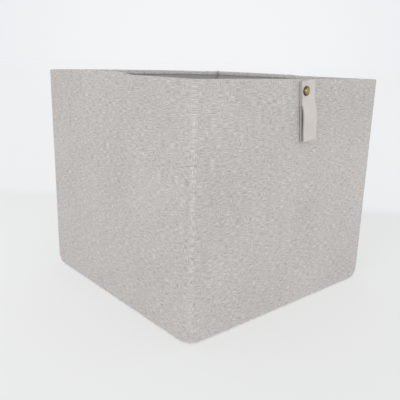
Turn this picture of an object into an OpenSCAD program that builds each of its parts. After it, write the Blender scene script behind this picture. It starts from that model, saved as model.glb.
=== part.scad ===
// Collapsible fabric storage bin: six stiffened fabric wall panels that fold flat,
// a bottom cloth, a lift-out base insert and a riveted pull strap on the front wall.
// Millimetres, +Z up. The origin is the middle of the underside, the front faces -Y.

/* [Bin] */
// Outside width, left to right
bin_w = 330; // [320:2:380]
// Outside depth, front to back, no more than the width, so that the folded sides clear each other
bin_d = 328; // [240:2:328]
// Height of the rim above the floor
bin_h = 296; // [200:2:340]
// Outside radius of the upright corners
corner_r = 6; // [5:0.5:12]

/* [Walls] */
// Thickness of the outer fabric
cover_t = 0.8; // [0.6:0.1:1.2]
// Thickness of the stiffening boards
board_t = 2.4; // [1.8:0.1:3]
// Thickness of the lining
lining_t = 0.5; // [0.3:0.1:0.8]
// Height of the outer fabric turned down inside the rim
hem_h = 7; // [4:0.5:15]
// Gap between a side panel's upright edge and the wall it is hinged to
corner_gap = 0.6; // [0.3:0.1:1]
// Distance from the crease line to the fabric edge of each half panel
crease_gap = 1.5; // [1:0.1:3]
// Margin from a panel's upright fabric edge to the board inside it
board_margin = 3; // [1:0.5:6]
// Height of the soft fabric below the boards, which lets the bottom edges round off
board_lift = 5; // [1:0.5:8]
// Slack in the fabric above the boards, which lets the rim round off
board_slack = 1.5; // [0.5:0.5:3]

/* [Base] */
// Thickness of the bottom cloth
base_t = 0.8; // [0.6:0.1:1.2]
// Thickness of the base insert's board
insert_board_t = 2; // [1.5:0.1:3]
// Thickness of the cloth round the insert's board
insert_cloth_t = 0.4; // [0.3:0.1:0.6]
// Width of the insert's cloth turned under the board
insert_turn_under = 18; // [10:1:30]
// Clearance between the insert and the walls
insert_clearance = 2.5; // [1.5:0.5:5]

/* [Pull strap] */
// Width of the strap
strap_w = 25; // [20:0.5:30]
// Thickness of one ply of the strap
ply_t = 2.4; // [1.5:0.1:2.6]
// Length of strap above the rivet
strap_above = 12; // [10:0.5:13]
// Length of strap below the rivet, to the bottom of the fold
strap_below = 61; // [50:1:90]
// How far the strap's middle lies to the right of the rivet
strap_offset = 4.5; // [0:0.5:5]
// Lean of the strap, its lower end to the right
strap_lean = 7; // [0:0.5:10]
// Gap between the two plies at the widest part of the loop
loop_gap = 1.6; // [1:0.1:3]
// Length of the loop that is pressed flat below its hinge
loop_pressed = 12; // [8:1:20]
// Distance from the rivet down to the line on which the loop swings
strap_hinge_drop = 8.5; // [8:0.5:12]

/* [Rivet] */
// Place of the rivet to the right of the front wall's middle
rivet_x = 3.6; // [-20:0.1:20]
// Depth of the rivet below the rim
rivet_drop = 14.4; // [14:0.2:20]
// Radius of the rivet's cap
rivet_cap_r = 5.75; // [5:0.25:6.5]
// Height of the cap's dome
rivet_dome_h = 2.4; // [1.5:0.1:3]
// Radius of the rivet's post
rivet_post_r = 1.5; // [1.2:0.1:2]

/* [Hidden] */
// Panel thickness, outer face to inner face, at the hem
wall_t = 2 * cover_t + board_t;
// Clear gaps below and above the base insert, and between the bottom cloth and the walls
insert_float = 0.2;
insert_headroom = 0.4;
upstand_gap = 0.3;
insert_z = base_t + insert_float;
insert_t = insert_board_t + 2 * insert_cloth_t;
// Height of the wall panels' lower edges, just above the base insert
wall_z = insert_z + insert_t + insert_headroom;
// The bottom cloth turns up to just below the wall panels
base_upstand_z = wall_z - upstand_gap;
half_w = bin_w / 2;
half_d = bin_d / 2;
// The boards stand between these heights
board_z = wall_z + cover_t + board_lift;
board_top_z = bin_h - cover_t - board_slack;
// Lining stops where the hem starts
hem_z = bin_h - hem_h;
// The strap lies on the front face
front_y = -half_d;
rivet_z = bin_h - rivet_drop;
clamp_t = 2 * ply_t;
// The swinging loop starts this far below its hinge line and lies this far off the wall
loop_start = 0.4;
strap_clear = 0.3;
// Width of the slit between the plies where the loop starts to open
loop_slit = 0.2;
// Facets round the strap's fold
fold_steps = 16;
// Clearance round the post and round its back plate
rivet_clearance = 0.1;
rivet_hole_r = rivet_post_r + rivet_clearance;
// Back plate of the post, sunk into the board behind the lining
rivet_plate_r = 5;
rivet_plate_t = 0.7;
rivet_rim_t = 0.5;
rivet_socket_depth = 1.6;
// Small allowance that carries a cut right through a face
cut = 1;

$fn = 64;
FABRIC = [0.742, 0.725, 0.710];
LINING = [0.420, 0.412, 0.400];
BOARD = [0.620, 0.540, 0.430];
STRAP = [0.800, 0.785, 0.755];
BRASS = [0.520, 0.440, 0.280];

// ---- Plan shapes ----

// Rectangle with round corners, centred on the origin
module rounded_plan(w, d, r) {
    square([w - 2 * r, d], center = true);
    square([w, d - 2 * r], center = true);
    for (x = [-1, 1], y = [-1, 1])
        translate([x * (w / 2 - r), y * (d / 2 - r)]) circle(r = r);
}

// The bin's outline, moved inwards by an inset
module bin_plan(inset = 0) {
    rounded_plan(bin_w - 2 * inset, bin_d - 2 * inset, corner_r - inset);
}

// Fabric that follows the bin's outline
module skin_plan(thickness) {
    difference() {
        bin_plan();
        bin_plan(thickness);
    }
}

// The strip of plan between two depths behind the front face
module front_strip(from, to, margin = 0) {
    translate([-half_w + margin, -half_d + from])
        square([bin_w - 2 * margin, to - from]);
}

// The strip of plan between two depths inside the left front half's outer face
module side_strip(from, to, margin = 0) {
    translate([-half_w + from, -half_d + wall_t + corner_gap + margin])
        square([to - from, half_d - wall_t - corner_gap - crease_gap - 2 * margin]);
}

// Extrudes a plan shape between two heights
module between(z0, z1) {
    translate([0, 0, z0]) linear_extrude(height = z1 - z0) children();
}

// Outer fabric of a panel: children(0) is the panel's plan, children(1) the hem's.
// It turns under the board at the bottom, over it at the rim, and down inside as a hem.
module panel_cover() {
    between(wall_z, bin_h) intersection() { skin_plan(cover_t); children(0); }
    between(wall_z, wall_z + cover_t) intersection() { bin_plan(); children(0); }
    between(bin_h - cover_t, bin_h) intersection() { bin_plan(); children(0); }
    between(hem_z, bin_h) children(1);
}

// ---- Front and rear walls ----

// Holes for the rivet through whatever lies behind the front face
module rivet_hole(r, depth) {
    translate([rivet_x, front_y - cut, rivet_z]) rotate([-90, 0, 0])
        cylinder(r = r, h = depth + cut);
}

module wall_board() {
    between(board_z, board_top_z)
        front_strip(cover_t, cover_t + board_t, corner_r - cover_t);
}

module wall_cover() {
    panel_cover() {
        front_strip(0, wall_t);
        front_strip(wall_t - cover_t, wall_t, wall_t);
    }
}

module wall_lining() {
    between(wall_z + cover_t, hem_z)
        front_strip(cover_t + board_t, cover_t + board_t + lining_t, wall_t);
}

module front_board() {
    color(BOARD) difference() {
        wall_board();
        rivet_hole(rivet_hole_r, wall_t);
        translate([rivet_x, front_y + cover_t + board_t - rivet_plate_t, rivet_z])
            rotate([-90, 0, 0]) cylinder(r = rivet_plate_r + rivet_clearance, h = rivet_plate_t + cut);
    }
}

module front_cover() {
    color(FABRIC) difference() {
        wall_cover();
        rivet_hole(rivet_hole_r, wall_t / 2);
    }
}

module front_lining() { color(LINING) wall_lining(); }

module rear_board() { color(BOARD) mirror([0, 1, 0]) wall_board(); }

module rear_cover() { color(FABRIC) mirror([0, 1, 0]) wall_cover(); }

module rear_lining() { color(LINING) mirror([0, 1, 0]) wall_lining(); }

// ---- Side walls, in two halves that fold inwards along a crease ----

// Moves the left front half to its side (-1 left, 1 right) and its end (-1 front, 1 rear)
module placed(side, end) {
    mirror([(side + 1) / 2, 0, 0]) mirror([0, (end + 1) / 2, 0]) children();
}

module half_board() {
    between(board_z, board_top_z)
        side_strip(cover_t, cover_t + board_t, board_margin);
}

module half_cover() {
    panel_cover() {
        side_strip(0, wall_t);
        side_strip(wall_t - cover_t, wall_t);
    }
}

module half_lining() {
    between(wall_z + cover_t, hem_z)
        side_strip(cover_t + board_t, cover_t + board_t + lining_t);
}

module left_front_board() { color(BOARD) placed(-1, -1) half_board(); }
module left_front_cover() { color(FABRIC) placed(-1, -1) half_cover(); }
module left_front_lining() { color(LINING) placed(-1, -1) half_lining(); }

module left_rear_board() { color(BOARD) placed(-1, 1) half_board(); }
module left_rear_cover() { color(FABRIC) placed(-1, 1) half_cover(); }
module left_rear_lining() { color(LINING) placed(-1, 1) half_lining(); }

module right_front_board() { color(BOARD) placed(1, -1) half_board(); }
module right_front_cover() { color(FABRIC) placed(1, -1) half_cover(); }
module right_front_lining() { color(LINING) placed(1, -1) half_lining(); }

module right_rear_board() { color(BOARD) placed(1, 1) half_board(); }
module right_rear_cover() { color(FABRIC) placed(1, 1) half_cover(); }
module right_rear_lining() { color(LINING) placed(1, 1) half_lining(); }

// ---- Base ----

// Cloth under the bin, its edge turned up to the walls
module bottom_cloth() {
    color(FABRIC) {
        between(0, base_t) bin_plan();
        between(0, base_upstand_z) skin_plan(base_t);
    }
}

// Outline of the insert, moved inwards by an inset
module insert_plan(inset = 0) {
    square([bin_w - 2 * (wall_t + insert_clearance + inset),
            bin_d - 2 * (wall_t + insert_clearance + inset)], center = true);
}

module insert_board() {
    color(BOARD) between(insert_z + insert_cloth_t, insert_z + insert_t - insert_cloth_t)
        insert_plan(insert_cloth_t);
}

// Top cloth of the insert, wrapped round the board's edges and turned under
module insert_cover() {
    color(LINING) {
        between(insert_z + insert_t - insert_cloth_t, insert_z + insert_t) insert_plan();
        between(insert_z, insert_z + insert_t) difference() {
            insert_plan();
            insert_plan(insert_cloth_t);
        }
        between(insert_z, insert_z + insert_cloth_t) difference() {
            insert_plan();
            insert_plan(insert_turn_under);
        }
    }
}

// Non-woven sheet that covers the board's underside between the turned edges
module insert_backing() {
    color(LINING) between(insert_z, insert_z + insert_cloth_t)
        insert_plan(insert_turn_under);
}

// ---- Pull strap and rivet ----

// Strap frame: origin on the front face behind the rivet, leaning with the strap
module in_strap_frame() {
    translate([rivet_x, front_y, rivet_z]) rotate([0, -strap_lean, 0]) children();
}

// Extrudes a side view (depth in front of the wall, height from the rivet) over the strap's width
module across_strap() {
    translate([strap_offset - strap_w / 2, 0, 0])
        rotate([90, 0, 90]) linear_extrude(height = strap_w) mirror([1, 0]) children();
}

// Both ends of the strap, pressed together under the rivet
module strap_clamped_end() {
    color(STRAP) in_strap_frame() difference() {
        across_strap() translate([0, -strap_hinge_drop])
            square([clamp_t, strap_hinge_drop + strap_above]);
        rotate([90, 0, 0]) translate([0, 0, -cut])
            cylinder(r = rivet_hole_r, h = clamp_t + 2 * cut);
    }
}

// Points along an arc, from one angle to another
function arc(centre, r, from, to, steps) =
    [for (i = [0:steps]) let (a = from + (to - from) * i / steps)
        centre + r * [cos(a), sin(a)]];

// Side view of a strip's loop: straight sides that spread from one thickness to a round bottom
module loop_side(top_z, top_from, top_to, bottom_from, bottom_to, bottom_z) {
    r = (bottom_to - bottom_from) / 2;
    bottom = arc([bottom_from + r, bottom_z + r], r, 180, 360, fold_steps);
    polygon(concat([[top_from, top_z]], bottom, [[top_to, top_z]]));
}

// The folded strap below the hinge line, which swings away from the wall
module strap_loop() {
    top = -strap_hinge_drop - loop_start;
    spread = clamp_t + loop_gap;
    color(STRAP) in_strap_frame() across_strap() difference() {
        loop_side(top, strap_clear, clamp_t, strap_clear, spread, -strap_below);
        loop_side(top - loop_pressed, ply_t, ply_t + loop_slit, strap_clear + ply_t,
                  spread - ply_t, -strap_below + ply_t);
    }
}

// Domed cap with a blind socket for the post
module rivet_cap() {
    dome_r = (pow(rivet_cap_r, 2) + pow(rivet_dome_h, 2)) / (2 * rivet_dome_h);
    color(BRASS) translate([rivet_x, front_y - clamp_t, rivet_z]) rotate([90, 0, 0])
        difference() {
            union() {
                cylinder(r = rivet_cap_r, h = rivet_rim_t);
                intersection() {
                    translate([0, 0, rivet_rim_t + rivet_dome_h - dome_r]) sphere(r = dome_r);
                    cylinder(r = rivet_cap_r, h = rivet_rim_t + rivet_dome_h);
                }
            }
            translate([0, 0, -cut]) cylinder(r = rivet_hole_r, h = rivet_socket_depth + cut);
        }
}

// Post through strap, fabric and board, with its back plate sunk into the board
module rivet_post() {
    plate_y = front_y + cover_t + board_t;
    color(BRASS) translate([rivet_x, plate_y, rivet_z]) rotate([90, 0, 0]) {
        cylinder(r = rivet_plate_r, h = rivet_plate_t);
        cylinder(r = rivet_post_r, h = cover_t + board_t + clamp_t + rivet_socket_depth);
    }
}

front_board();
front_cover();
front_lining();
rear_board();
rear_cover();
rear_lining();
left_front_board();
left_front_cover();
left_front_lining();
left_rear_board();
left_rear_cover();
left_rear_lining();
right_front_board();
right_front_cover();
right_front_lining();
right_rear_board();
right_rear_cover();
right_rear_lining();
bottom_cloth();
insert_board();
insert_cover();
insert_backing();
strap_clamped_end();
strap_loop();
rivet_cap();
rivet_post();
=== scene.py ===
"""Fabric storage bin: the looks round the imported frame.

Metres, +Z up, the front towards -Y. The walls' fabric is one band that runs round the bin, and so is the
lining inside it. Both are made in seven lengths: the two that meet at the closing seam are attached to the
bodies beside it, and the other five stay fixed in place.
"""

import math

import bmesh
import bpy
from mathutils import Matrix, Vector, noise


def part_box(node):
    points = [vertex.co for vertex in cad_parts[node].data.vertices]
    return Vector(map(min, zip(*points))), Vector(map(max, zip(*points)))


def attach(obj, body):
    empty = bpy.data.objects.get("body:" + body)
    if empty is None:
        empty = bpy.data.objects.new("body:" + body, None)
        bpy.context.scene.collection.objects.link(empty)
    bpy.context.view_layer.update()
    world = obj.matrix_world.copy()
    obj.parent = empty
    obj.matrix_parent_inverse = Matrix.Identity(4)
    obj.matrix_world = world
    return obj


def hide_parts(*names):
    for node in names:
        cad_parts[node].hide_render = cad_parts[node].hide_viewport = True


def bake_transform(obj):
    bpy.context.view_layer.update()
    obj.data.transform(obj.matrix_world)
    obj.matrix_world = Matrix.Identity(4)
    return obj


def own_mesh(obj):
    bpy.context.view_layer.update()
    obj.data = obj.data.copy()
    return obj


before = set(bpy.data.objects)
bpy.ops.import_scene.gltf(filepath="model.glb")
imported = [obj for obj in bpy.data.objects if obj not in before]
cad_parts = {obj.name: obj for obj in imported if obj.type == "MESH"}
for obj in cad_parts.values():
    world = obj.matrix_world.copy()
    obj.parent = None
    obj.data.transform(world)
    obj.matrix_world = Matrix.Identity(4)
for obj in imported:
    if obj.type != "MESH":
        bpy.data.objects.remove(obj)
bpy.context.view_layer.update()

MM = 0.001

# ---- Sizes taken from the frame ----

base_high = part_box("bottom_cloth")[1]
HALF_W, HALF_D, BASE_TOP_Z = base_high
wall_low, wall_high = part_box("front_cover")
RIM_Z = wall_high.z
WALL_Z = wall_low.z
WALL_T = wall_high.y - wall_low.y
HEM_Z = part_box("front_lining")[1].z
insert_low, insert_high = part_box("insert_cover")
backing_low, backing_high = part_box("insert_backing")
clamp_low, clamp_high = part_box("strap_clamped_end")
cap_low, cap_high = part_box("rivet_cap")

# ---- Sizes of the cloth, which the frame leaves plain ----

CORNER_R = 6 * MM
CLOTH_T = 0.75 * MM
LINING_T = 0.4 * MM
LINING_DEPTH = 3.65 * MM
# The wall fabric rounds off under the bin, and its corners grow rounder there
BOTTOM_R = 5 * MM
BOTTOM_CORNER_R = 21 * MM
CORNER_SOFTENING = 14 * MM
SOFT_HEIGHT = 16 * MM
# Its soft corners also stand a little off the floor
CORNER_LIFT = 3 * MM
CORNER_LIFT_REACH = 9.5 * MM
CORNER_LIFT_HEIGHT = 40 * MM
SEAM_GAP = 0.03 * MM
# The wall fabric meets the bottom cloth halfway across the frame's gap between them
SEAM_Z = 0.5 * (WALL_Z + BASE_TOP_Z)
# A crease has no board in it, so the fabric pinches together there
CREASE_HALF = 4 * MM
CREASE_PINCH = 2.2 * MM
CREASE_DIP = 0.8 * MM
# A groove runs down each crease, and the closing seam draws the fabric in
GROOVE_DEPTH = 0.35 * MM
GROOVE_REACH = 2.5 * MM
SEAM_DEPTH = 0.9 * MM
SEAM_REACH = 1.1 * MM
# A fold of the hem stands up beside the closing seam, and the lining follows it
RIDGE_AWAY = 5.6 * MM
RIDGE_REACH = 1.5 * MM
HEM_RIDGE = 1.3 * MM
LINING_RIDGE = 1.2 * MM
# How much of the rim's unevenness reaches the hem's edge
HEM_FOLLOWS = 0.6
# Slack never takes the fabric further than this towards its board
PRESSED_IN = 0.05 * MM
# The lining ends this far below the hem's edge
LINING_CLEARANCE = 0.05 * MM

# ---- Small mathematics ----


def smooth(x):
    """0 below 0, 1 above 1, and a smooth step between."""
    x = min(1.0, max(0.0, x))
    return x * x * (3 - 2 * x)


def hump(x, reach):
    """1 at x = 0, falling smoothly to both sides."""
    return math.exp(-(x / reach) ** 2)


def steps(start, end, count):
    """count + 1 values from start to end."""
    return [start + (end - start) * i / count for i in range(count + 1)]


def wave(x, y, size, seed):
    """Smooth noise between about -1 and 1 with features of that size, in metres."""
    return noise.noise(Vector((x / size, y / size, seed)))


# ---- The way round the bin, clockwise seen from above, from the front's middle ----

SIDE_X = HALF_W - CORNER_R
SIDE_Y = HALF_D - CORNER_R
ARC = CORNER_R * math.pi / 2
# Each stretch: its length, and its normal's direction in degrees at its start and end
STRETCHES = [
    (SIDE_X, 270, 270), (ARC, 270, 180), (2 * SIDE_Y, 180, 180), (ARC, 180, 90), (2 * SIDE_X, 90, 90),
    (ARC, 90, 0), (2 * SIDE_Y, 360, 360), (ARC, 360, 270), (SIDE_X, 270, 270),
]
STARTS = [sum(length for length, _, _ in STRETCHES[:i]) for i in range(len(STRETCHES) + 1)]
ROUND = STARTS[-1]
LEFT_MIDDLE = STARTS[2] + SIDE_Y
RIGHT_MIDDLE = STARTS[6] + SIDE_Y
REAR_MIDDLE = STARTS[4] + SIDE_X
CLOSING_SEAM = STARTS[5] + ARC / 2
# Signs of x and y at the corners that stretches 1, 3, 5 and 7 turn round
CORNER_SIGNS = {1: (-1, -1), 3: (-1, 1), 5: (1, 1), 7: (1, -1)}


def outline(s, inset, r):
    """The point s metres round the bin, on the outline moved inwards by inset with corners of radius r."""
    s = min(max(s, 0.0), ROUND)
    i = max(k for k in range(len(STRETCHES)) if STARTS[k] <= s or k == 0)
    length, start, end = STRETCHES[i]
    u = (s - STARTS[i]) / length
    r = max(r, 0.0)
    x, y = HALF_W - inset - r, HALF_D - inset - r
    if i in CORNER_SIGNS:
        angle = math.radians(start + (end - start) * u)
        sign_x, sign_y = CORNER_SIGNS[i]
        return sign_x * x + r * math.cos(angle), sign_y * y + r * math.sin(angle)
    if i == 0:
        return -x * u, -y - r
    if i == 2:
        return -x - r, y * (2 * u - 1)
    if i == 4:
        return x * (2 * u - 1), y + r
    if i == 6:
        return x + r, y * (1 - 2 * u)
    return x * (1 - u), -y - r


FLAT_STEP = 7 * MM
CREASE_STEP = 0.8 * MM
CREASE_ZONE = 12 * MM
ARC_STEPS = 12


def columns(start, end):
    """Places round the bin from start to end, close together at the corners and creases."""
    marks = {start, end}
    for i, (length, _, _) in enumerate(STRETCHES):
        a = STARTS[i]
        count = ARC_STEPS if i in CORNER_SIGNS else max(1, round(length / FLAT_STEP))
        marks |= set(steps(a, a + length, count))
    for middle in (LEFT_MIDDLE, RIGHT_MIDDLE):
        zone = (middle - CREASE_ZONE, middle + CREASE_ZONE)
        marks = {m for m in marks if not zone[0] < m < zone[1]}
        marks |= set(steps(*zone, round(2 * CREASE_ZONE / CREASE_STEP)))
    for offset in (0, 0.4, 0.8, 1.2, 1.7, 2.3):
        marks |= {CLOSING_SEAM - offset * MM, CLOSING_SEAM + offset * MM}
    kept = []
    for m in sorted(marks):
        if start - 1e-9 <= m <= end + 1e-9 and (not kept or m - kept[-1] > 0.12 * MM):
            kept.append(m)
    kept[-1] = end
    return kept


def crease(s, reach=CREASE_HALF):
    """1 on a side wall's crease line, falling to 0 at reach."""
    distance = min(abs(s - LEFT_MIDDLE), abs(s - RIGHT_MIDDLE))
    return 1 - smooth(distance / reach)


# The rim's height against the frame's: at the near corner, at the two far ones, and along each wall
NEAR_RIM = -0.1 * MM
FAR_LEFT_RIM = 0.05 * MM
FAR_RIGHT_RIM = -0.7 * MM
LEFT_RISE = 2.7 * MM
LEFT_RISE_FROM = -54 * MM
LEFT_RISE_RAMP = 36 * MM
LEFT_RISE_END = 150 * MM
RIGHT_DROP = 1.35 * MM
RIGHT_DROP_FROM = -4 * MM
RIGHT_DROP_RAMP = 30 * MM
REAR_ARCH = 0.7 * MM
REAR_ARCH_X = -60 * MM
REAR_ARCH_LENGTH = 360 * MM
REAR_FALL_FROM = 20 * MM
REAR_FALL_RAMP = 140 * MM
REAR_END_RAMP = 30 * MM
SEAM_RISE = 0.9 * MM
SEAM_RISE_REACH = 4 * MM
FRONT_DROP = 1.9 * MM
FRONT_DROP_POWER = 1.3


def rim_lift(s):
    """How far the rim stands above its height in the frame: the boards have settled unevenly."""
    x, y = outline(s, 0, CORNER_R)
    if STARTS[2] <= s <= STARTS[3]:
        bulge = math.sin(math.pi / 2 * min(1, max(0, (HALF_D - y) / LEFT_RISE_END)))
        lift = NEAR_RIM + LEFT_RISE * bulge * smooth((y - LEFT_RISE_FROM) / LEFT_RISE_RAMP)
    elif STARTS[6] <= s <= STARTS[7]:
        lift = FAR_RIGHT_RIM - RIGHT_DROP * smooth((RIGHT_DROP_FROM - y) / RIGHT_DROP_RAMP)
    elif STARTS[3] <= s <= STARTS[6]:
        arch = math.cos(min(math.pi / 2, abs(x - REAR_ARCH_X) * math.pi / REAR_ARCH_LENGTH))
        middle = REAR_ARCH * arch + FAR_RIGHT_RIM * smooth((x - REAR_FALL_FROM) / REAR_FALL_RAMP)
        end = FAR_LEFT_RIM if x < 0 else FAR_RIGHT_RIM
        lift = end + (middle - end) * smooth((HALF_W - abs(x)) / REAR_END_RAMP)
        lift += SEAM_RISE * hump(s - CLOSING_SEAM, SEAM_RISE_REACH)
    else:
        lift = NEAR_RIM - FRONT_DROP * max(0, (1 + x / HALF_W) / 2) ** FRONT_DROP_POWER
    return lift - CREASE_DIP * crease(s)


# ---- Meshes ----


def new_piece(name, points, faces, cloth, sharp_edges=()):
    """A smooth mesh object. cloth gives each point's place on the flat cloth, in metres, for its weave."""
    mesh = bpy.data.meshes.new(name)
    mesh.from_pydata(points, [], faces)
    shell = bmesh.new()
    shell.from_mesh(mesh)
    bmesh.ops.recalc_face_normals(shell, faces=shell.faces)
    shell.to_mesh(mesh)
    shell.free()
    mesh.update()
    place = mesh.attributes.new("cloth", "FLOAT_VECTOR", "POINT")
    place.data.foreach_set("vector", [value for point in cloth for value in point])
    mesh.polygons.foreach_set("use_smooth", [True] * len(mesh.polygons))
    if sharp_edges:
        wanted = {tuple(sorted(edge)) for edge in sharp_edges}
        sharp = mesh.attributes.new("sharp_edge", "BOOLEAN", "EDGE")
        for edge in mesh.edges:
            if tuple(sorted(edge.vertices)) in wanted:
                sharp.data[edge.index].value = True
    piece = bpy.data.objects.new(name, mesh)
    bpy.context.scene.collection.objects.link(piece)
    return piece


def band(name, marks, rows):
    """A closed strip of cloth round part of the bin. rows go once round its section: each is a function of s
    that gives the point and its place on the cloth. The edges round the strip's two ends are sharp."""
    points, cloth, faces = [], [], []
    for s in marks:
        for row in rows:
            point, place = row(s)
            points.append(point)
            cloth.append(place)
    n = len(rows)
    for i in range(len(marks) - 1):
        for j in range(n):
            k = (j + 1) % n
            faces.append((i * n + j, i * n + k, (i + 1) * n + k, (i + 1) * n + j))
    sharp = []
    half = n // 2
    for i, flip in ((0, True), (len(marks) - 1, False)):
        for j in range(half - 1):
            a, b = i * n + j, i * n + j + 1
            c, d = i * n + n - 2 - j, i * n + n - 1 - j
            faces.append((a, d, c, b) if flip else (a, b, c, d))
        sharp += [(i * n + j, i * n + (j + 1) % n) for j in range(n)]
    return new_piece(name, points, faces, cloth, sharp)


# ---- The wall fabric's section: (depth behind the outer face, height, distance along the cloth) ----

BOTTOM_STEPS = 7
FACE_STEPS = 38
RIM_STEPS = 10
HEM_STEPS = 3
# The face towards the board is set this much deeper
BACK_SHIFT = 0.1 * MM


def wall_section(s, inset):
    """The section of the wall fabric, from under the bin up the outside and over the rim to the hem."""
    pinch = CREASE_PINCH * crease(s)
    groove = GROOVE_DEPTH * crease(s, GROOVE_REACH)
    seam = SEAM_DEPTH * hump(s - CLOSING_SEAM, SEAM_REACH)
    rim_r = (WALL_T - pinch) / 2
    rim_z = RIM_Z + rim_lift(s)
    r = BOTTOM_R
    last = math.asin(1 - (SEAM_Z + SEAM_GAP) / r)
    found = []
    for a in steps(last, 0, BOTTOM_STEPS):
        growth = corner_growth(r - r * math.sin(a), a)
        found.append((r - (r - inset) * math.cos(a), r - (r - inset) * math.sin(a), r * (1 - a), growth))
    low, high = r, rim_z - rim_r
    for z in steps(low, high, FACE_STEPS)[1:-1]:
        found.append((inset, z, z, corner_growth(z)))
    for b in steps(0, math.pi, RIM_STEPS):
        z = rim_z - rim_r + (rim_r - inset) * math.sin(b)
        found.append((rim_r - (rim_r - inset) * math.cos(b), z, high + rim_r * b, 0.0))
    hem_low = HEM_Z + (rim_z - RIM_Z) * HEM_FOLLOWS
    for z in steps(high, hem_low, HEM_STEPS)[1:]:
        found.append((2 * rim_r - inset, z, high + math.pi * rim_r + high - z, 0.0))
    # A fold of the hem and the joined edges stand up beside the closing seam
    ridge = HEM_RIDGE * hump(s - CLOSING_SEAM + RIDGE_AWAY, RIDGE_REACH)
    inside = BOTTOM_STEPS + FACE_STEPS + RIM_STEPS * 3 // 4
    lay = groove + seam + (BACK_SHIFT if inset else 0)
    return [(depth + lay + (ridge if i >= inside else 0), z, t, growth)
            for i, (depth, z, t, growth) in enumerate(found)]


# Unevenness of the wall fabric, of the lining and of the cloth on the base, in millimetres
BROAD_SLACK = 0.22
RIM_SLACK = 0.16
FOOT_SLACK = 0.35
LINING_SLACK = 0.30
LINING_FINE_SLACK = 0.12
BASE_SLACK = 0.05
BASE_EDGE_SLACK = 0.12


def slack(s, t):
    """How far the wall fabric stands off its board, from the slight unevenness of stretched cloth."""
    top, bottom = RIM_Z - t, t - BOTTOM_R
    broad = BROAD_SLACK * (wave(s, t, 90 * MM, 3.1) + 0.6 * wave(s, t, 38 * MM, 7.7))
    rim = RIM_SLACK * wave(s, 0, 9 * MM, 11.3) * math.exp(-abs(top) / (9 * MM))
    foot = FOOT_SLACK * wave(s, 0, 14 * MM, 5.9) * math.exp(-abs(bottom) / (10 * MM))
    return (broad + rim + foot) * MM


def corner_growth(z, a=0.0):
    """How much rounder the corner is at height z, and at the angle a round the bottom edge."""
    soft = CORNER_SOFTENING * max(0.0, 1 - z / SOFT_HEIGHT) ** 2
    return soft + (BOTTOM_CORNER_R - CORNER_R - CORNER_SOFTENING) * (1 - math.cos(a))


def corner_lift(x, y, z):
    """How far the cloth is drawn up at a bottom corner."""
    away = math.hypot(HALF_W - abs(x), HALF_D - abs(y))
    return CORNER_LIFT * hump(away, CORNER_LIFT_REACH) * max(0.0, 1 - z / CORNER_LIFT_HEIGHT) ** 2


SECTION_POINTS = BOTTOM_STEPS + FACE_STEPS + RIM_STEPS + HEM_STEPS + 1
section_cache = {}


def wall_point(s, index, inset):
    """The point of the wall fabric at that place round the bin and in its section."""
    key = (round(s, 7), inset)
    if key not in section_cache:
        section_cache[key] = wall_section(s, inset)
    depth, z, t, growth = section_cache[key][index]
    outside = index < BOTTOM_STEPS + FACE_STEPS + RIM_STEPS // 2
    if outside:
        depth -= max(-PRESSED_IN, slack(s, t))
    x, y = outline(s, depth, CORNER_R - depth + growth)
    # The third part of a place on the cloth: its height above the hem's edge inside the bin, or 1 outside
    hem_edge = section_cache[key][SECTION_POINTS - 1][1]
    above_hem_edge = z - hem_edge if not outside else 1.0
    return (x, y, z + corner_lift(x, y, z)), (s, t, above_hem_edge)


def wall_rows():
    """Rows round the section: up the outer face, then back along the face that lies on the board."""
    rows = [lambda s, i=i: wall_point(s, i, 0.0) for i in range(SECTION_POINTS)]
    rows += [lambda s, i=i: wall_point(s, i, CLOTH_T) for i in reversed(range(SECTION_POINTS))]
    return rows


LINING_STEPS = 34


def lining_rows():
    """Rows round the lining's section: up the side that shows, then down the side on the board."""
    def row(s, u, back):
        low = WALL_Z + CLOTH_T
        high = HEM_Z + HEM_FOLLOWS * rim_lift(s) - LINING_CLEARANCE
        z = low + (high - low) * u
        edge = min(1, 6 * u, 6 * (1 - u))
        ripple = LINING_SLACK * wave(s, 0.25 * z, 30 * MM, 2.2) + LINING_FINE_SLACK * wave(s, z, 16 * MM, 9.4)
        depth = LINING_DEPTH - CREASE_PINCH * crease(s)
        depth += max(-PRESSED_IN, edge * ripple * MM) + edge * PRESSED_IN
        depth += LINING_RIDGE * hump(s - CLOSING_SEAM + RIDGE_AWAY, RIDGE_REACH)
        depth -= LINING_T if back else 0
        x, y = outline(s, depth, CORNER_R - depth + corner_growth(z))
        return (x, y, z), (s, z, 0.0)

    heights = steps(0, 1, LINING_STEPS)
    rows = [lambda s, u=u: row(s, u, False) for u in heights]
    rows += [lambda s, u=u: row(s, u, True) for u in reversed(heights)]
    return rows


# ---- Materials ----


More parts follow.
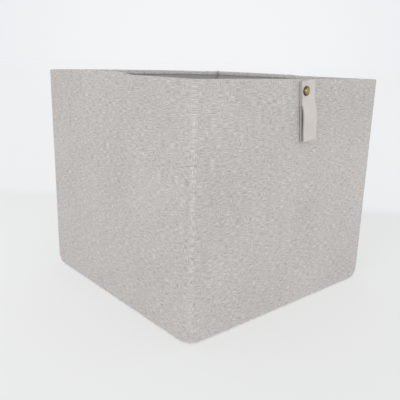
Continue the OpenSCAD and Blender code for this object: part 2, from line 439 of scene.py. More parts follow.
class Nodes:
    """Short calls for building one material's nodes."""

    def __init__(self, name):
        self.material = bpy.data.materials.new(name)
        self.material.use_nodes = True
        self.tree = self.material.node_tree
        self.shader = self.tree.nodes["Principled BSDF"]

    def add(self, kind, inputs=(), **settings):
        node = self.tree.nodes.new(kind)
        for key, value in settings.items():
            setattr(node, key, value)
        for key, value in dict(inputs).items():
            if isinstance(value, bpy.types.NodeSocket):
                self.tree.links.new(value, node.inputs[key])
            else:
                node.inputs[key].default_value = value
        return node

    def math(self, operation, a, b=0.5):
        return self.add("ShaderNodeMath", {0: a, 1: b}, operation=operation).outputs[0]

    def stretched(self, where, scale):
        """Coordinates multiplied by a scale in each direction."""
        return self.add("ShaderNodeVectorMath", {0: where, 1: scale}, operation="MULTIPLY").outputs[0]

    def place(self, round_bin, up):
        """The cloth's own flat coordinates, multiplied by a scale round the bin and one up the wall."""
        where = self.add("ShaderNodeAttribute", attribute_name="cloth").outputs["Vector"]
        return self.stretched(where, (round_bin, up, 0.0))

    def object_place(self):
        """The object's own coordinates, in metres."""
        return self.add("ShaderNodeTexCoord").outputs["Object"]

    def cloth_part(self, axis):
        """One part of the cloth attribute: X round the bin, Z height above the hem's edge."""
        where = self.add("ShaderNodeAttribute", attribute_name="cloth").outputs["Vector"]
        return self.add("ShaderNodeSeparateXYZ", {0: where}).outputs[axis]

    def near(self, value, centre, reach):
        """1 where value is at centre, falling to 0 at reach."""
        return self.span(self.math("ABSOLUTE", self.math("SUBTRACT", value, centre)), 0.0, reach, 1.0, 0.0)

    def dot(self, where, direction):
        """How far a place lies along a fixed direction in the room."""
        inputs = {0: where, 1: direction}
        return self.add("ShaderNodeVectorMath", inputs, operation="DOT_PRODUCT").outputs["Value"]

    def scaled(self, colour, factor):
        """A colour multiplied by a value."""
        return self.add("ShaderNodeVectorMath", {0: colour, "Scale": factor}, operation="SCALE").outputs[0]

    def noise(self, where, detail, roughness):
        inputs = {"Vector": where, "Scale": 1.0, "Detail": detail, "Roughness": roughness}
        return self.add("ShaderNodeTexNoise", inputs).outputs[0]

    def span(self, value, low, high, to_low=0.0, to_high=1.0):
        inputs = {"Value": value, "From Min": low, "From Max": high, "To Min": to_low, "To Max": to_high}
        return self.add("ShaderNodeMapRange", inputs, clamp=True).outputs[0]

    def ramp(self, value, *stops):
        node = self.add("ShaderNodeValToRGB", {0: value})
        node.color_ramp.elements[0].position = stops[0][0]
        node.color_ramp.elements[0].color = (*stops[0][1], 1)
        node.color_ramp.elements[1].position = stops[-1][0]
        node.color_ramp.elements[1].color = (*stops[-1][1], 1)
        for position, colour in stops[1:-1]:
            node.color_ramp.elements.new(position).color = (*colour, 1)
        return node.outputs[0]

    def bump(self, height, distance, strength=1.0):
        inputs = {"Height": height, "Distance": distance, "Strength": strength}
        normal = self.add("ShaderNodeBump", inputs).outputs[0]
        self.tree.links.new(normal, self.shader.inputs["Normal"])

    def colour(self, value):
        self.tree.links.new(value, self.shader.inputs["Base Color"])

    def roughness(self, value):
        self.tree.links.new(value, self.shader.inputs["Roughness"])

    def fixed(self, **values):
        for key, value in values.items():
            self.shader.inputs[key.replace("_", " ")].default_value = value


# Direction in which the backdrop is brightest: in the photo, straight ahead of the camera
BACKDROP = (math.cos(math.radians(49.3)), math.sin(math.radians(49.3)), 0.0)
# A quarter turn to its left
LEFTWARDS = (-BACKDROP[1], BACKDROP[0], 0.0)
# The backdrop's foot on the floor: the direction it faces along, and how far off it is
FOOT_NORMAL = (math.cos(math.radians(42.5)), math.sin(math.radians(42.5)), 0.0)
FOOT_AWAY = 0.43
# Cosines of the angle off the backdrop's brightest direction, between which its brightness rises
BRIGHT_FROM, BRIGHT_FULL = 0.93, 0.99
# The floor's glow, which is painted light: on the table, what its left adds and what painted shade takes off
# its far part, far off, and what is added there in the backdrop's brightest direction
TABLE_GLOW = 0.527
LEFT_GLOW = 0.026
FOOT_PAINTED_SHADE = 0.026
FAR_GLOW = (0.583, 0.565)
BRIGHT_GLOW = 0.04
# Metres over which the table fades, the brightest part comes in, the far glow drops and the foot begins
TABLE_FADE = (0.8, 2.2)
BRIGHT_FADE = (1.5, 5.0)
FAR_FADE = (2.5, 10.0)
FOOT_FADE = 0.07
TABLE_TINT = (1.0, 1.0, 0.995)
BACKDROP_TINT = (0.968, 0.982, 1.0)


def grey(level, tint):
    """A grey of that level, tinted."""
    return tuple(level * part for part in tint)


FABRIC_TINT = (1.058, 1.0, 0.965)
FABRIC_LEVEL = 0.486
# How much lighter or darker the slubs, the broad clouding and the fine threads make the fabric
SLUB_CONTRAST = 0.235
CLOUD_CONTRAST = 0.045
THREAD_CONTRAST = 0.015
# Noise values that give the darkest and the lightest slubs
SLUB_LOW, SLUB_HIGH = 0.38, 0.62
# The fabric's darkest and lightest, as shares of its level, and the change in tone that reaches them
DARKEST, LIGHTEST = 0.70, 1.30
TONE_REACH = 0.3
STITCH = 3.2 * MM
STITCH_HEIGHT = 2 * MM
STITCH_HALF = 0.55 * MM
# Shares by which its colour changes: on a stitch, painted shade at the closing seam, and painted light on the
# hem inside the bin
STITCH_SHADE = 0.22
SEAM_SHADE = -0.5
HEM_PAINTED_LIGHT = 0.26
SEAM_SHADE_REACH = 3.2 * MM
# Values of the cloth's third part between which the hem ends and the outside begins
HEM_TO_OUTSIDE = (0.05, 0.06)


def outer_weave():
    """Heathered plain weave: fine threads, light and dark slubs along and across, and the hem's stitches."""
    n = Nodes("outer_weave")
    # Slubs: thicker yarns, short and thin, mostly level and some upright
    level = n.noise(n.place(120.0, 1020.0), 2.0, 0.5)
    upright = n.noise(n.place(780.0, 180.0), 2.0, 0.5)
    where = n.noise(n.place(90.0, 90.0), 1.0, 0.5)
    mask = n.span(where, 0.52, 0.60)
    level_tone = n.span(level, SLUB_LOW, SLUB_HIGH, -1.0, 1.0)
    upright_tone = n.span(upright, SLUB_LOW, SLUB_HIGH, -1.0, 1.0)
    level_dash = n.math("MULTIPLY", level_tone, n.math("SUBTRACT", 1.0, mask))
    upright_dash = n.math("MULTIPLY", upright_tone, mask)
    # Squared with its sign kept, so that a few slubs stand out and most are faint
    both = n.math("ADD", level_dash, upright_dash)
    slubs = n.math("MULTIPLY", n.math("MULTIPLY", both, n.math("ABSOLUTE", both)), SLUB_CONTRAST)
    # Fine threads of the plain weave, over and under
    fine = n.add("ShaderNodeTexChecker", {"Vector": n.place(1.0, 1.0), "Scale": 1500.0}).outputs["Fac"]
    broad = n.noise(n.place(9.0, 9.0), 3.0, 0.55)
    value = n.math("ADD", slubs, n.span(broad, 0.3, 0.7, -CLOUD_CONTRAST, CLOUD_CONTRAST))
    value = n.math("ADD", value, n.span(fine, 0.0, 1.0, -THREAD_CONTRAST, THREAD_CONTRAST))
    tone = n.span(value, -TONE_REACH, TONE_REACH)
    dark = grey(FABRIC_LEVEL * DARKEST, FABRIC_TINT)
    light = grey(FABRIC_LEVEL * LIGHTEST, FABRIC_TINT)
    colour = n.ramp(tone, (0.0, dark), (0.5, grey(FABRIC_LEVEL, FABRIC_TINT)), (1.0, light))
    # Stitches along the hem, painted shade at the closing seam, and painted light on the hem inside the bin
    round_bin, up_hem = n.cloth_part("X"), n.cloth_part("Z")
    dash = n.span(n.math("FRACT", n.math("MULTIPLY", round_bin, 1 / STITCH)), 0.62, 0.78, 1.0, 0.0)
    thread = n.math("MULTIPLY", n.near(up_hem, STITCH_HEIGHT, STITCH_HALF), dash)
    seam = n.near(round_bin, CLOSING_SEAM, SEAM_SHADE_REACH)
    shade = n.math("ADD", n.math("MULTIPLY", thread, STITCH_SHADE), n.math("MULTIPLY", seam, SEAM_SHADE))
    # Painted light: the hem inside the bin is made lighter than the same cloth outside
    shade = n.math("ADD", shade, n.span(up_hem, *HEM_TO_OUTSIDE, HEM_PAINTED_LIGHT, 0.0))
    n.colour(n.scaled(colour, n.math("ADD", shade, 1.0)))
    n.roughness(n.span(slubs, -0.2, 0.2, 0.98, 0.86))
    height = n.math("ADD", n.math("MULTIPLY", slubs, 0.6), n.math("MULTIPLY", fine, 0.12))
    n.bump(n.math("ADD", height, n.math("MULTIPLY", thread, 1.2)), 0.35 * MM)
    n.fixed(Specular_IOR_Level=0.25, Sheen_Weight=0.12, Sheen_Roughness=0.5)
    return n.material


def lining_weave():
    """Dark plain lining with a fine even weave, and painted shade along the closing seam."""
    n = Nodes("lining_weave")
    level = n.noise(n.place(160.0, 900.0), 2.0, 0.5)
    upright = n.noise(n.place(900.0, 160.0), 2.0, 0.5)
    threads = n.math("ADD", n.math("MULTIPLY", level, 0.5), n.math("MULTIPLY", upright, 0.5))
    broad = n.noise(n.place(14.0, 14.0), 2.0, 0.5)
    tone = n.math("ADD", n.span(threads, 0.38, 0.62, 0.25, 0.75), n.span(broad, 0.3, 0.7, -0.15, 0.15))
    colour = n.ramp(tone, (0.0, (0.305, 0.298, 0.288)), (1.0, (0.415, 0.406, 0.394)))
    # Painted shade: the lining is darker along the closing seam's fold
    seam = n.near(n.cloth_part("X"), CLOSING_SEAM, 1.3 * MM)
    n.colour(n.scaled(colour, n.math("SUBTRACT", 1.0, n.math("MULTIPLY", seam, 0.45))))
    n.roughness(n.span(threads, 0.3, 0.7, 0.95, 0.82))
    n.bump(threads, 0.2 * MM)
    n.fixed(Specular_IOR_Level=0.3, Sheen_Weight=0.08)
    return n.material


def strap_leather():
    """Pale grained leather: cut edges show darker fibres, and the flesh side inside the fold is darkest."""
    n = Nodes("strap_leather")
    grain = n.add("ShaderNodeTexVoronoi", {"Vector": n.place(1.0, 1.0), "Scale": 1300.0},
                  feature="DISTANCE_TO_EDGE").outputs[0]
    cloud = n.noise(n.place(60.0, 60.0), 3.0, 0.55)
    # 0 on the grain side, 0.5 on the cut edges, 1 on the flesh side
    side = n.add("ShaderNodeAttribute", attribute_name="leather_side").outputs["Fac"]
    fibre = n.noise(n.place(400.0, 1500.0), 2.0, 0.5)
    face = n.ramp(n.span(cloud, 0.3, 0.7), (0.0, (0.580, 0.537, 0.504)), (1.0, (0.630, 0.585, 0.552)))
    cut = n.ramp(side, (0.5, (0.45, 0.425, 0.40)), (1.0, (0.36, 0.335, 0.31)))
    cut = n.scaled(cut, n.span(fibre, 0.3, 0.7, 0.85, 1.15))
    mixed = n.add("ShaderNodeMix", {"Factor": n.span(side, 0.0, 0.5)}, data_type="RGBA")
    n.tree.links.new(face, mixed.inputs["A"])
    n.tree.links.new(cut, mixed.inputs["B"])
    n.colour(mixed.outputs["Result"])
    n.roughness(n.span(cloud, 0.3, 0.7, 0.62, 0.52))
    n.bump(n.math("ADD", n.span(grain, 0.0, 0.12), n.math("MULTIPLY", fibre, 0.4)), 0.06 * MM)
    n.fixed(Specular_IOR_Level=0.4)
    return n.material


def brass_with_painted_dark_rim():
    """Antiqued brass with fine handling marks, darker towards its rim as painted shade and painted dark
    reflection.
    """
    n = Nodes("brass_with_painted_dark_rim")
    wear = n.noise(n.stretched(n.object_place(), (900.0, 900.0, 900.0)), 3.0, 0.6)
    height = n.add("ShaderNodeAttribute", attribute_name="dome").outputs["Fac"]
    # Painted shade and reflection: the colour falls to near black towards the dome's rim
    tone = n.math("ADD", n.math("MULTIPLY", height, 0.95), n.span(wear, 0.3, 0.7, -0.06, 0.06))
    n.colour(n.ramp(tone, (0.0, (0.05, 0.037, 0.02)), (0.5, (0.22, 0.165, 0.075)), (1.0, (0.46, 0.37, 0.18))))
    n.roughness(n.span(wear, 0.3, 0.7, 0.10, 0.15))
    n.bump(wear, 0.02 * MM, 0.2)
    n.fixed(Metallic=1.0)
    return n.material


def fibre_board():
    """Grey board, for the stiffeners inside the walls and the insert."""
    n = Nodes("fibre_board")
    fibre = n.noise(n.stretched(n.object_place(), (400.0, 400.0, 1600.0)), 4.0, 0.6)
    n.colour(n.ramp(fibre, (0.25, (0.24, 0.21, 0.17)), (0.75, (0.38, 0.34, 0.28))))
    n.roughness(n.span(fibre, 0.3, 0.7, 0.95, 0.85))
    n.bump(fibre, 0.1 * MM)
    return n.material


def backing_felt():
    """Non-woven sheet: matted fibres with a grid of small pressed points."""
    n = Nodes("backing_felt")
    fibre = n.noise(n.place(700.0, 700.0), 4.0, 0.65)
    points = n.add("ShaderNodeTexVoronoi", {"Vector": n.place(1.0, 1.0), "Scale": 480.0,
                                            "Randomness": 0.0}).outputs["Distance"]
    pressed = n.span(points, 0.12, 0.26)
    n.colour(n.ramp(fibre, (0.25, (0.17, 0.165, 0.155)), (0.75, (0.26, 0.25, 0.24))))
    n.roughness(n.span(fibre, 0.3, 0.7, 0.95, 0.8))
    n.bump(n.math("ADD", pressed, n.math("MULTIPLY", fibre, 0.6)), 0.12 * MM)
    return n.material


def floor_with_painted_glow():
    """Grey table top that glows with painted light, more on its left, with painted shade towards the
    backdrop's foot, and fades into the bright backdrop.
    """
    n = Nodes("floor_with_painted_glow")
    place = n.object_place()
    cloud = n.noise(n.stretched(place, (3.0, 3.0, 3.0)), 2.0, 0.5)
    n.colour(n.ramp(cloud, (0.3, (0.297, 0.297, 0.297)), (0.7, (0.303, 0.303, 0.303))))
    n.roughness(n.span(cloud, 0.3, 0.7, 0.75, 0.8))
    # The table ends a little behind the bin, at the foot of a pale backdrop that is even to the horizon, and
    # it fades to the same in every other direction
    away = n.add("ShaderNodeVectorMath", {0: place}, operation="LENGTH").outputs["Value"]
    to_foot = n.dot(place, FOOT_NORMAL)
    beyond = n.math("MAXIMUM", n.span(to_foot, FOOT_AWAY - FOOT_FADE, FOOT_AWAY), n.span(away, *TABLE_FADE))
    # Painted light on the table, more on its left, and painted shade towards the backdrop's foot
    table = n.math("ADD", n.span(n.dot(place, LEFTWARDS), -0.05, 0.35, 0.0, LEFT_GLOW), TABLE_GLOW)
    table = n.math("SUBTRACT", table, n.span(to_foot, 0.12, FOOT_AWAY - 0.09, 0.0, FOOT_PAINTED_SHADE))
    direction = n.add("ShaderNodeVectorMath", {0: place}, operation="NORMALIZE").outputs[0]
    bright = n.span(n.dot(direction, BACKDROP), BRIGHT_FROM, BRIGHT_FULL)
    middle = n.math("MULTIPLY", bright, n.span(away, *BRIGHT_FADE))
    far = n.math("ADD", n.span(away, *FAR_FADE, *FAR_GLOW), n.math("MULTIPLY", middle, BRIGHT_GLOW))
    far_share = n.math("MULTIPLY", far, beyond)
    glow = n.math("ADD", n.math("MULTIPLY", table, n.math("SUBTRACT", 1.0, beyond)), far_share)
    n.tree.links.new(glow, n.shader.inputs["Emission Strength"])
    tint = n.ramp(beyond, (0.0, TABLE_TINT), (1.0, BACKDROP_TINT))
    n.tree.links.new(tint, n.shader.inputs["Emission Color"])
    n.fixed(Specular_IOR_Level=0.2)
    return n.material


OUTER = outer_weave()
LINING = lining_weave()
LEATHER = strap_leather()
BRASS = brass_with_painted_dark_rim()
BOARD = fibre_board()
FELT = backing_felt()


def dress(piece, material):
    piece.data.materials.append(material)
    return piece


# ---- The wall fabric and its lining, in seven lengths each ----

QUARTER_Y = SIDE_Y / 2
LENGTHS = {
    "front_left": (0.0, LEFT_MIDDLE - QUARTER_Y),
    "left": (LEFT_MIDDLE - QUARTER_Y, LEFT_MIDDLE + QUARTER_Y),
    "rear_left": (LEFT_MIDDLE + QUARTER_Y, REAR_MIDDLE),
    "rear_right": (REAR_MIDDLE, CLOSING_SEAM),
    "right_rear": (CLOSING_SEAM, RIGHT_MIDDLE - QUARTER_Y),
    "right": (RIGHT_MIDDLE - QUARTER_Y, RIGHT_MIDDLE + QUARTER_Y),
    "front_right": (RIGHT_MIDDLE + QUARTER_Y, ROUND),
}
# Which frame nodes each length stands for
STANDS_FOR = {
    "front_left": ["front", "left_front"],
    "left": [],
    "rear_left": ["left_rear", "rear"],
    "rear_right": [],
    "right_rear": ["right_rear"],
    "right": ["right_front"],
    "front_right": [],
}


def follow(piece, length):
    """Attaches the two lengths at the closing seam to one body each, and bakes the other lengths in place."""
    if length == "front_left":
        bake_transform(piece)
    elif length == "left":
        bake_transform(piece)
    elif length == "rear_left":
        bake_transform(piece)
    elif length == "rear_right":
        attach(piece, "rear_wall")
    elif length == "right_rear":
        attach(piece, "right_rear_half")
    elif length == "right":
        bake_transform(piece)
    else:
        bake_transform(piece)


def make_walls():
    cloth_height = wall_section(0.0, 0.0)[-1][2] - wall_section(0.0, 0.0)[0][2]
    for length, (start, end) in LENGTHS.items():
        marks = columns(start, end)
        cover = dress(band(f"cover_{length}", marks, wall_rows()), OUTER)
        lining = dress(band(f"lining_{length}", marks, lining_rows()), LINING)
        for wall in STANDS_FOR[length]:
            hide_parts(f"{wall}_cover")
            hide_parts(f"{wall}_lining")
        follow(cover, length)
        follow(lining, length)


make_walls()


# ---- Base: the bottom cloth and the lift-out insert ----


# Smallest corner radius of a ring
RING_R = 0.5 * MM


def ring_sheet(name, outer, inner, unevenness):
    """A closed sheet made of rings round the bin's middle. outer and inner are its two faces, from the edge
    to the middle, as lists of (inset, z, corner radius). unevenness gives what is added to a point's
    height."""
    marks = columns(0.0, ROUND)
    count = len(marks) - 1
    points, cloth, faces = [], [], []
    for inset, z, r in outer + inner[::-1]:
        for s in marks[:-1]:
            x, y = outline(s, inset, r)
            points.append((x, y, z + unevenness(x, y, z, inset)))
            cloth.append((x, y, 0.0))
    rings = len(outer) + len(inner)
    around = [(i, (i + 1) % count) for i in range(count)]
    for j in range(rings):
        # The two rings at the middle aren't joined: each face closes on a point of its own
        if j != len(outer) - 1:
            low, high = j * count, (j + 1) % rings * count
            faces += [(low + i, high + i, high + k, low + k) for i, k in around]
    for ring, (_, z, _) in ((len(outer) - 1, outer[-1]), (len(outer), inner[-1])):
        faces += [(ring * count + i, ring * count + k, len(points)) for i, k in around]
        points.append((0.0, 0.0, z + unevenness(0.0, 0.0, z, HALF_D)))
        cloth.append((0.0, 0.0, 0.0))
    return new_piece(name, points, faces, cloth)


def pucker(x, y, z, inset):
    """Slight unevenness of the cloth lying on the base."""
    near_edge = math.exp(-max(0.0, inset - 7 * MM) / (12 * MM))
    fine = near_edge * wave(x, y, 9 * MM, 8.8)
    return (BASE_SLACK * wave(x, y, 60 * MM, 4.4) + BASE_EDGE_SLACK * fine) * MM


def make_bottom_cloth():
    """Cloth under the bin, turned up at its edge to meet the walls."""
    lip = math.asin(1 - (SEAM_Z - SEAM_GAP) / BOTTOM_R)

    def profile(inset):
        found = []
        for a in steps(lip, math.pi / 2, 8):
            depth = BOTTOM_R - (BOTTOM_R - inset) * math.cos(a)
            z = BOTTOM_R - (BOTTOM_R - inset) * math.sin(a)
            growth = corner_growth(BOTTOM_R - BOTTOM_R * math.sin(a), a)
            found.append((depth, z, CORNER_R - depth + growth))
        for depth in steps(BOTTOM_R, HALF_D - 6 * MM, 16)[1:]:
            found.append((depth, inset, max(RING_R, BOTTOM_CORNER_R - depth)))
        return found

    def unevenness(x, y, z, _):
        return corner_lift(x, y, z)

    piece = ring_sheet("bottom_cloth_sewn", profile(0.0), profile(CLOTH_T), unevenness)
    dress(piece, OUTER)
    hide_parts("bottom_cloth")
    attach(piece, "front_wall")
    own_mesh(piece)


make_bottom_cloth()

INSERT_INSET = HALF_W - insert_high.x
INSERT_EDGE_R = 1.2 * MM
INSERT_CLOTH_T = backing_high.z - backing_low.z
TURN_UNDER = insert_high.x - backing_high.x
INSERT_CORNER_R = 1.2 * MM
BACKING_CORNER_R = 3 * MM
# Where the rings lie, in millimetres from the insert's edge and from the backing's
TOP_RINGS = (3, 6, 10, 16, 24, 36, 52, 72, 96, 124, 150)
BACKING_RINGS = (0, 2, 40, 90, 130)


def make_insert():
    """The insert's dark cloth, wrapped over its board and turned under, and the backing between the turns."""
    def profile(skin):
        r = INSERT_EDGE_R
        low, high = insert_low.z, insert_high.z
        found = [(inset, low + skin) for inset in steps(TURN_UNDER - SEAM_GAP, r, 4)[:-1]]
        for a in steps(-math.pi / 2, 0, 4):
            found.append((r - (r - skin) * math.cos(a), low + r + (r - skin) * math.sin(a)))
        for a in steps(0, math.pi / 2, 4):
            found.append((r - (r - skin) * math.cos(a), high - r + (r - skin) * math.sin(a)))
        found += [(ring * MM, high - skin) for ring in TOP_RINGS]
        return [(INSERT_INSET + inset, z, max(RING_R, INSERT_CORNER_R - inset)) for inset, z in found]

    piece = ring_sheet("insert_cloth", profile(0.0), profile(INSERT_CLOTH_T * 0.9), pucker)
    dress(piece, LINING)
    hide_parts("insert_cover")
    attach(piece, "base_insert")

    inset = HALF_W - backing_high.x + SEAM_GAP

    def flat(z):
        return [(inset + d * MM, z, max(RING_R, BACKING_CORNER_R - d * MM)) for d in BACKING_RINGS]

    backing = ring_sheet("insert_backing_sheet", flat(backing_low.z), flat(backing_high.z), pucker)
    dress(backing, FELT)
    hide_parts("insert_backing")
    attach(backing, "base_insert")


make_insert()


# ---- The pull strap: one strip, folded double and riveted through both plies ----

STRAP_LEAN = math.radians(7)
RIVET = Vector((0.5 * (cap_low.x + cap_high.x), -HALF_D, 0.5 * (cap_low.z + cap_high.z)))
ACROSS = Vector((math.cos(STRAP_LEAN), 0, math.sin(STRAP_LEAN)))
UP = Vector((-math.sin(STRAP_LEAN), 0, math.cos(STRAP_LEAN)))
OUT = Vector((0, -1, 0))
PLY_T = (clamp_high.y - clamp_low.y) / 2
STRAP_W = 24.4 * MM
STRAP_MIDDLE = 4.8 * MM
STRAP_TOP = 12 * MM
STRAP_BOTTOM = 62 * MM
HINGE_DROP = 8.5 * MM
PRESSED_DROP = 13 * MM
PLY_GAP = 1.6 * MM
# The fold was pressed level, so it crosses the leaning strap at an angle
FOLD_SHEAR = 0.06
BACK_GAP = 0.6 * MM
# Lengths over which the back ply comes away from the wall, and the front ply from the back one
BACK_OPENS = 8 * MM
FRONT_OPENS = 10 * MM
# The front ply bows out a little below its riveted part
BOW = 0.9 * MM
BOW_DROP = 31 * MM
BOW_REACH = 11 * MM
# The rivet presses the front ply in, and its edges curl up beside the rivet
DENT = 0.45 * MM
DENT_REACH = 7 * MM
CURL = 0.35 * MM
CURL_FROM, CURL_RAMP = 8 * MM, 4 * MM
CURL_DROP, CURL_REACH = 2 * MM, 9 * MM
BEVEL = 0.45 * MM
# Values of leather_side on the strip's two faces and its cut edges
GRAIN, CUT, FLESH = 0.0, 0.5, 1.0


def strap_path():
    """The strip's middle in side view, from the back ply's top, round the fold, to the front ply's top:
    (distance from the wall, height from the rivet)."""
    back = 0.5 * PLY_T
    path = [(back, v) for v in steps(STRAP_TOP, -HINGE_DROP, 10)]
    path += [(back + BACK_GAP * smooth((-HINGE_DROP - v) / BACK_OPENS), v)
             for v in steps(-HINGE_DROP, -PRESSED_DROP, 9)[1:]]
    fold_r = 0.5 * (PLY_T + PLY_GAP)
    low = -STRAP_BOTTOM + fold_r + 0.5 * PLY_T
    path += [(back + BACK_GAP, v) for v in steps(-PRESSED_DROP, low, 18)[1:]]
    centre = back + BACK_GAP + fold_r
    path += [(centre - fold_r * math.cos(a), low - fold_r * math.sin(a)) for a in steps(0, math.pi, 14)[1:]]
    front = 1.5 * PLY_T
    swell = PLY_GAP + BACK_GAP
    path += [(front + swell * smooth((-PRESSED_DROP - v) / FRONT_OPENS), v)
             for v in steps(low, -PRESSED_DROP, 30)[1:]]
    front_from = 1.1 * PLY_T + BACK_GAP
    path = [(d + (BOW * hump(v + BOW_DROP, BOW_REACH) if d > front_from else 0), v) for d, v in path]
    path += [(front, v) for v in steps(-PRESSED_DROP, STRAP_TOP, 24)[1:]]
    return path


def make_strap():
    path = strap_path()
    half_t, half_w = 0.5 * PLY_T, 0.5 * STRAP_W
    # Section round the strip: (across, off the middle), with rounded cut edges
    across = steps(-half_w + BEVEL, half_w - BEVEL, 12)
    section = [(a, half_t, FLESH) for a in across]
    section += [(half_w - 0.3 * BEVEL, half_t - 0.3 * BEVEL, CUT), (half_w, half_t - BEVEL, CUT),
                (half_w, -half_t + BEVEL, CUT), (half_w - 0.3 * BEVEL, -half_t + 0.3 * BEVEL, CUT)]
    section += [(a, -half_t, GRAIN) for a in reversed(across)]
    section += [(-half_w + 0.3 * BEVEL, -half_t + 0.3 * BEVEL, CUT), (-half_w, -half_t + BEVEL, CUT),
                (-half_w, half_t - BEVEL, CUT), (-half_w + 0.3 * BEVEL, half_t - 0.3 * BEVEL, CUT)]
    n = len(section)
    points, cloth, sides, faces = [], [], [], []
    run = 0.0
    for i, (depth, v) in enumerate(path):
        before, after = path[max(0, i - 1)], path[min(len(path) - 1, i + 1)]
        along = Vector((after[0] - before[0], after[1] - before[1])).normalized()
        normal = Vector((along.y, -along.x))
        if i:
            run += math.dist(path[i - 1], path[i])
        for a, off, side in section:
            x = STRAP_MIDDLE + a
            d = depth + off * -normal.x
            h = v + off * -normal.y
            front_ply = i > len(path) // 2
            if front_ply and d > PLY_T * 1.4:
                away = math.hypot(x, h)
                d -= DENT * hump(away, DENT_REACH)
                d += CURL * smooth((abs(a) - CURL_FROM) / CURL_RAMP) * hump(h + CURL_DROP, CURL_REACH)
            h -= FOLD_SHEAR * a * smooth((-PRESSED_DROP - v) / (STRAP_BOTTOM - PRESSED_DROP))
            point = RIVET + ACROSS * x + UP * h + OUT * d
            points.append(tuple(point))
            cloth.append((a, run, off))
            sides.append(side)
    rows = len(path)
    for i in range(rows - 1):
        for j in range(n):
            k = (j + 1) % n
            faces.append((i * n + j, (i + 1) * n + j, (i + 1) * n + k, i * n + k))
    faces.append([j for j in range(n)])
    faces.append([(rows - 1) * n + j for j in reversed(range(n))])
    sharp = [(e * n + j, e * n + (j + 1) % n) for e in (0, rows - 1) for j in range(n)]
    piece = new_piece("pull_strap", points, faces, cloth, sharp)
    leather_side = piece.data.attributes.new("leather_side", "FLOAT", "POINT")
    leather_side.data.foreach_set("value", sides)
    dress(piece, LEATHER)
    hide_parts("strap_clamped_end", "strap_loop")
    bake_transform(piece)


make_strap()


def make_rivet():
    """Domed cap with a rolled rim, turned about the rivet's axis."""
    r, high = 0.5 * (cap_high.x - cap_low.x), cap_high.y - cap_low.y
    rim = 0.45 * MM
    # Height at which the dome leaves the rolled rim
    seat = 0.62 * rim
    profile = [(r - 0.15 * MM, 0.0)]
    profile += [(r - rim + rim * math.cos(a), rim * (1 + math.sin(a))) for a in steps(-0.9, 1.9, 7)]
    dome_r = r - 2.1 * rim
    profile += [(dome_r * math.cos(a), seat + (high - seat) * math.sin(a) ** 0.9)
                for a in steps(0.02, math.pi / 2 - 0.06, 14)]
    turns = 56
    points, dome, faces = [], [], []
    axis_y = cap_high.y
    for radius, h in profile:
        for k in range(turns):
            angle = 2 * math.pi * k / turns
            x, z = RIVET.x + radius * math.cos(angle), RIVET.z + radius * math.sin(angle)
            points.append((x, axis_y - h, z))
            dome.append(h / high)
    for j in range(len(profile) - 1):
        for k in range(turns):
            m = (k + 1) % turns
            faces.append((j * turns + k, j * turns + m, (j + 1) * turns + m, (j + 1) * turns + k))
    tip = len(points)
    points.append((RIVET.x, axis_y - high, RIVET.z))
    dome.append(1.0)
    top = (len(profile) - 1) * turns
    faces += [(top + k, top + (k + 1) % turns, tip) for k in range(turns)]
    faces.append([k for k in reversed(range(turns))])
    piece = new_piece("rivet_dome", points, faces, points)
    # Height on the dome, which the brass turns into its painted dark rim
    level = piece.data.attributes.new("dome", "FLOAT", "POINT")
    level.data.foreach_set("value", dome)
    dress(piece, BRASS)
    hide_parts("rivet_cap")
    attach(piece, "front_wall")


make_rivet()

# ---- Frame nodes that stay: boards and the rivet's post ----

for name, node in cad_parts.items():
    if name.endswith("_board"):
        node.material_slots[0].material = BOARD
    elif name == "rivet_post":
        node.material_slots[0].material = BRASS

# ---- Stage: floor, light and camera ----

FLOOR_HALF = 60.0
floor_mesh = bpy.data.meshes.new("floor")
floor_mesh.from_pydata([(-FLOOR_HALF, -FLOOR_HALF, 0), (FLOOR_HALF, -FLOOR_HALF, 0),
                        (FLOOR_HALF, FLOOR_HALF, 0), (-FLOOR_HALF, FLOOR_HALF, 0)], [], [(0, 1, 2, 3)])
floor = bpy.data.objects.new("floor", floor_mesh)
floor.location.z = -0.1 * MM
floor_mesh.materials.append(floor_with_painted_glow())
bpy.context.scene.collection.objects.link(floor)

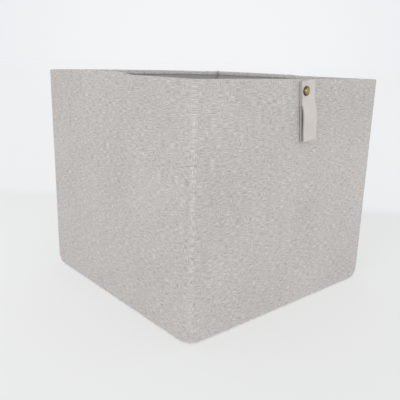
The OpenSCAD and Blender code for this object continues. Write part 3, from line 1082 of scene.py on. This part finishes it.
world = bpy.data.worlds.new("studio")
world.use_nodes = True
backdrop = world.node_tree.nodes["Background"]
sky = world.node_tree.nodes.new("ShaderNodeTexCoord").outputs["Generated"]
towards = world.node_tree.nodes.new("ShaderNodeVectorMath")
towards.operation = "DOT_PRODUCT"
towards.inputs[1].default_value = BACKDROP
world.node_tree.links.new(sky, towards.inputs[0])
glow = world.node_tree.nodes.new("ShaderNodeValToRGB")
glow.color_ramp.elements[0].position = BRIGHT_FROM
glow.color_ramp.elements[0].color = (0.848, 0.867, 0.884, 1)
glow.color_ramp.elements[1].position = BRIGHT_FULL
glow.color_ramp.elements[1].color = (0.896, 0.913, 0.922, 1)
world.node_tree.links.new(towards.outputs["Value"], glow.inputs[0])
world.node_tree.links.new(glow.outputs[0], backdrop.inputs["Color"])
bpy.context.scene.world = world


def soft_light(name, location, target, width, height, watts):
    """An elliptical area lamp that faces target."""
    lamp = bpy.data.lights.new(name, "AREA")
    lamp.shape = "ELLIPSE"
    lamp.size = width
    lamp.size_y = height
    lamp.energy = watts
    lamp.color = (1.0, 0.985, 0.97)
    source = bpy.data.objects.new(name, lamp)
    source.location = location
    source.rotation_euler = (Vector(target) - Vector(location)).to_track_quat("-Z", "Y").to_euler()
    bpy.context.scene.collection.objects.link(source)


soft_light("key", (-1.72, -0.5, 0.72), (0, 0, 0.12), width=1.1, height=1.1, watts=6.3)
# A second, smaller lamp in front, whose reflection is the rivet's highlight
soft_light("front", (-0.03, -1.85, 0.44), (0, -0.16, 0.2), width=0.34, height=0.62, watts=4.3)

CAMERA_PLACE = Vector((-0.4909, -0.5567, 0.3132))
CAMERA_HEADING = math.radians(49.33)
CAMERA_PITCH = math.radians(-15.25)
CAMERA_ROLL = math.radians(1.40)
ahead = Vector((math.cos(CAMERA_PITCH) * math.cos(CAMERA_HEADING),
                math.cos(CAMERA_PITCH) * math.sin(CAMERA_HEADING), math.sin(CAMERA_PITCH)))
level_right = ahead.cross(Vector((0, 0, 1))).normalized()
level_up = level_right.cross(ahead)
right = level_right * math.cos(CAMERA_ROLL) + level_up * math.sin(CAMERA_ROLL)
up = right.cross(ahead)
camera_data = bpy.data.cameras.new("camera")
camera_data.sensor_width = 36
camera_data.lens = 46.01
camera_data.clip_start = 0.01
camera_data.clip_end = 200
camera = bpy.data.objects.new("camera", camera_data)
camera.matrix_world = Matrix((
    (right.x, up.x, -ahead.x, CAMERA_PLACE.x),
    (right.y, up.y, -ahead.y, CAMERA_PLACE.y),
    (right.z, up.z, -ahead.z, CAMERA_PLACE.z),
    (0, 0, 0, 1),
))
bpy.context.scene.collection.objects.link(camera)
bpy.context.scene.camera = camera
bpy.context.scene.view_settings.view_transform = "Standard"
